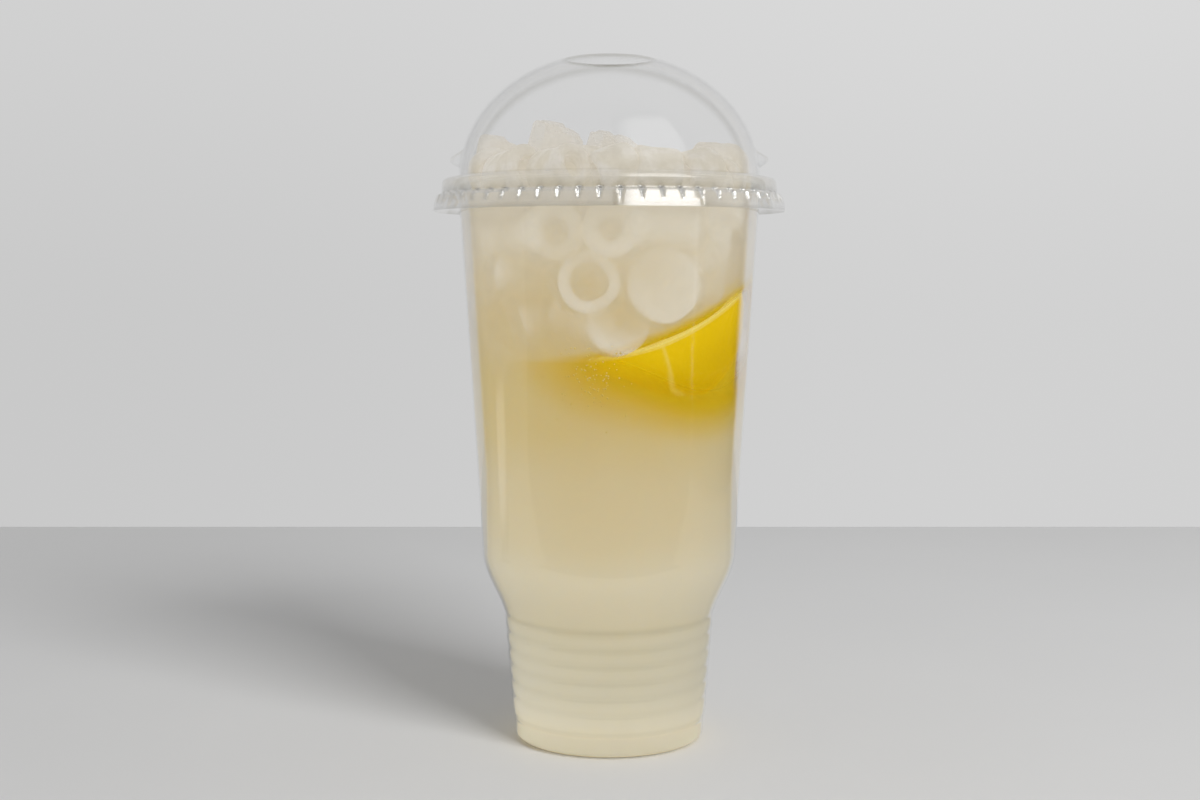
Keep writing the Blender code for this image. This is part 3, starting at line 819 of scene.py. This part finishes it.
random = np.random.default_rng(23)
heap = []
for pieces, ring_radius, z in HEAPED_ROWS:
    for k in range(pieces):
        heading = 360 * (k + random.uniform(-0.2, 0.2)) / pieces
        lift = random.uniform(-HEAPED_UNEVENNESS, HEAPED_UNEVENNESS)
        middle = toward(heading) * ring_radius + Vector((0, 0, z + lift))
        tube_radius = random.uniform(*HEAPED_RADII)
        length = random.uniform(*HEAPED_LENGTHS)
        points, faces = ice_tube(length, tube_radius, TUBE_HOLE, 900 + 10 * len(heap))
        points = turned_to(points, toward(heading + random.uniform(50, 130), random.uniform(-25, 25)))
        points = points + np.array(middle)
        room = np.where(points[:, 2] < CUP_HEIGHT + 0.0006, BODY_TOP_RADIUS, DOME_RADIUS) - HEAP_CLEARANCE
        heap.append((within(points, room), faces))
add_piece("heaped_ice", *joined(heap), wet_ice, "ice", sharp=60)

# Studio. A pale table top whose back edge stands against a pale backdrop, a large soft light at the front
# right, and the camera at the height of the drink. One lamp lights the table and two the drink, and what the
# plastic mirrors is given by cards of its own.
FLOOR_BACK, FLOOR_SIDE = 0.438, 4
CAMERA_PLACE = (-0.00297, -0.538, 0.15256)
CAMERA_PITCH = 4.528  # degrees down
LENS, SENSOR = 50.0, 36.0
# heading, pitch, distance, width, height, watts, and whether it lights the table or the drink
LAMPS = {
    "key_on_table": (37, 31, 2.0, 0.90, 0.80, 37.0, "table"),
    "key_on_drink": (9, 31, 2.0, 0.90, 0.80, 11.5, "drink"),
    "side_fill": (-95, 5, 1.6, 1.2, 0.8, 5.8, "drink"),
}
LAMPS_AIM_Z = 0.1
# the soft box as it is mirrored: its headings and pitches, seen from a point at BOX_CENTRE_Z on the axis
BOX_LEFT, BOX_RIGHT = 2, 62
BOX_LOW, BOX_HIGH = 8, 60
BOX_DISTANCE, BOX_CENTRE_Z = 1.5, 0.15
BOX_BRIGHTNESS, STRIP_BRIGHTNESS = 2.5, 1.9
STRIP_HEADINGS, STRIP_REACH = (-95, -107), (0.28, 0.9)
STRIP_Z, DARK_Z = 0.0008, 0.0006  # of the cards that lie on the table
DARK_NEAR_X, DARK_NEAR_Y = 0.4, -0.145  # corner that the two dark cards share
DARK_FRONT_X, DARK_FRONT_Y = 9, -3.9  # far edge of the one in front
DARK_RIGHT_X, DARK_RIGHT_YS = 3.9, (-1.42, 2.9)  # far edge of the one at the right
DARK_BACK_Y = 0.3

table_top, wire = start_material("table_top")
place = wire.node("TexCoord", out="Object")
grain = wire.node("TexNoise", {}, {"Vector": place, "Scale": 9.0, "Detail": 5.0})
fine = wire.node("TexNoise", {}, {"Vector": place, "Scale": 900.0, "Detail": 2.0})
towards_back = wire.node("SeparateXYZ", {}, {0: place}, out=1)
# A thin darker band along the table's back edge is a painted shadow where it meets the backdrop.
back = towards_back.step(FLOOR_BACK - 0.003, FLOOR_BACK - 0.001)
shade = grain * 0.35 + fine * 0.15 + towards_back.step(-0.3, 0.4) * 0.5
grey = shade.paint((0.60, 0.60, 0.60), (0.67, 0.67, 0.67))
table = wire.node("BsdfPrincipled", {}, {
    "Base Color": back.paint(grey, (0.60, 0.60, 0.60)), "Roughness": 0.7, "Specular IOR Level": 0.2})
wire.node("OutputMaterial", {}, {"Surface": table})


def stage_sheet(name, corners, surface):
    """A flat four-cornered sheet of the studio, which isn't part of the drink."""
    mesh = bpy.data.meshes.new(name)
    mesh.from_pydata(corners, [], [(0, 1, 2, 3)])
    mesh.materials.append(surface)
    made = bpy.data.objects.new(name, mesh)
    bpy.context.scene.collection.objects.link(made)
    return made


def faded(along):
    """1 in the middle half of an axis that runs from 0 to 1, and a smooth fall to 0 towards both ends."""
    return along.step(0.0, 0.25) * (1 - along.step(0.75, 1.0))


def reflected_card(name, corners, brightness, fading=(0, 2)):
    """A card that only shows where something glossy before its face mirrors it. It fades along two axes."""
    surface, wire = start_material(name)
    spread = wire.node("TexCoord", out="Generated")
    first, second = [wire.node("SeparateXYZ", {}, {0: spread}, out=k) for k in fading]
    light = (faded(first) * faded(second)).paint((0.0, 0.0, 0.0), (1.0, 1.0, 1.0))
    glow = wire.node("Emission", {}, {"Color": light, "Strength": brightness})
    from_behind = wire.node("NewGeometry", out="Backfacing")
    clear = wire.node("BsdfTransparent", {}, {"Color": (1.0, 1.0, 1.0)})
    facing = wire.node("MixShader", {}, {0: from_behind, 1: glow, 2: clear})
    wire.node("OutputMaterial", {}, {"Surface": facing})
    card = stage_sheet(name, corners, surface)
    card.visible_camera = False
    card.visible_diffuse = False
    card.visible_shadow = False
    card.visible_transmission = False
    return card


floor_corners = [(-FLOOR_SIDE, -FLOOR_SIDE, 0), (FLOOR_SIDE, -FLOOR_SIDE, 0),
                 (FLOOR_SIDE, FLOOR_BACK, 0), (-FLOOR_SIDE, FLOOR_BACK, 0)]
floor = stage_sheet("floor", floor_corners, table_top)
only_table = bpy.data.collections.new("only_table")
only_table.objects.link(floor)
all_but_table = bpy.data.collections.new("all_but_table")
all_but_table.objects.link(floor)
all_but_table.collection_objects[0].light_linking.link_state = "EXCLUDE"

studio = bpy.data.worlds.new("studio")
studio.use_nodes = True
studio.node_tree.nodes.clear()
bpy.context.scene.world = studio
wire = Wire(studio.node_tree)
way = wire.node("TexCoord", out="Generated")
across, ahead, above = [wire.node("SeparateXYZ", {}, {0: way}, out=k) for k in range(3)]
backdrop_shade = 0.585 + across.step(-0.35, 0.25) * 0.055 + above.step(-0.05, 0.20) * 0.058
backdrop = backdrop_shade.paint((0.0, 0.0, 0.0), (1.0, 1.0, 1.0))
ambient = 0.37 + ahead.step(-0.5, 0.3) * 0.12 + (0 - across).step(0.1, 0.8) * 0.05
front = (0 - ahead).step(0.0, 0.6)
aside = across.step(-0.9, 0.2).paint((0.50, 0.50, 0.50), (0.66, 0.66, 0.66))
mirrored = front.paint(aside, (0.10, 0.10, 0.10))
mirrored = (front * above.step(0.10, 0.40)).paint(mirrored, (0.45, 0.45, 0.45))
room = ambient.paint((0.0, 0.0, 0.0), (1.0, 1.0, 1.0))
seen = wire.node("LightPath", out="Is Camera Ray")
glossed = wire.node("LightPath", out="Is Glossy Ray")
shown = seen.paint(glossed.paint(room, mirrored), backdrop)
surround = wire.node("Background", {}, {"Color": shown, "Strength": 1.0})
wire.node("OutputWorld", {}, {"Surface": surround})

for name, (heading, pitch, distance, width, height, power, target) in LAMPS.items():
    lamp_data = bpy.data.lights.new(name, "AREA")
    lamp_data.shape = "RECTANGLE"
    lamp_data.size, lamp_data.size_y = width, height
    lamp_data.energy = power
    lamp = bpy.data.objects.new(name, lamp_data)
    lamp.location = toward(heading, pitch) * distance + Vector((0, 0, LAMPS_AIM_Z))
    lamp.rotation_euler = (-toward(heading, pitch)).to_track_quat("-Z", "Y").to_euler()
    lamp.visible_camera = False
    lamp.visible_glossy = False
    lamp.light_linking.receiver_collection = only_table if target == "table" else all_but_table
    bpy.context.scene.collection.objects.link(lamp)

# What the plastic mirrors: a soft box, a bright strip of table at the left, and dark cards on the table's
# front and right. The corners of each run round it so that its face is towards the drink.
box_ends = ((BOX_LEFT, BOX_LOW), (BOX_LEFT, BOX_HIGH), (BOX_RIGHT, BOX_HIGH), (BOX_RIGHT, BOX_LOW))
box_corners = [toward(*end) * BOX_DISTANCE + Vector((0, 0, BOX_CENTRE_Z)) for end in box_ends]
reflected_card("soft_box", box_corners, BOX_BRIGHTNESS)
(near_side, far_side), (start, stop) = STRIP_HEADINGS, STRIP_REACH
strip_ends = ((near_side, start), (far_side, start), (far_side, stop), (near_side, stop))
strip_corners = [toward(heading) * reach + Vector((0, 0, STRIP_Z)) for heading, reach in strip_ends]
reflected_card("left_strip", strip_corners, STRIP_BRIGHTNESS, fading=(0, 1))
front_corners = [(-DARK_FRONT_X, DARK_FRONT_Y, DARK_Z), (DARK_FRONT_X, DARK_FRONT_Y, DARK_Z),
                 (DARK_NEAR_X, DARK_NEAR_Y, DARK_Z), (-DARK_NEAR_X, DARK_NEAR_Y, DARK_Z)]
reflected_card("dark_front", front_corners, 0)
right_corners = [*((DARK_RIGHT_X, y, DARK_Z) for y in DARK_RIGHT_YS),
                 (DARK_NEAR_X, DARK_BACK_Y, DARK_Z), (DARK_NEAR_X, DARK_NEAR_Y, DARK_Z)]
reflected_card("dark_right", right_corners, 0)

camera_data = bpy.data.cameras.new("camera")
camera_data.lens = LENS
camera_data.sensor_width = SENSOR
camera_data.clip_start = 0.01
camera = bpy.data.objects.new("camera", camera_data)
camera.location = CAMERA_PLACE
camera.rotation_euler = (math.radians(90 - CAMERA_PITCH), 0, 0)
bpy.context.scene.collection.objects.link(camera)
bpy.context.scene.camera = camera
bpy.context.scene.view_settings.view_transform = "Standard"
bpy.context.scene.cycles.transparent_max_bounces = 32
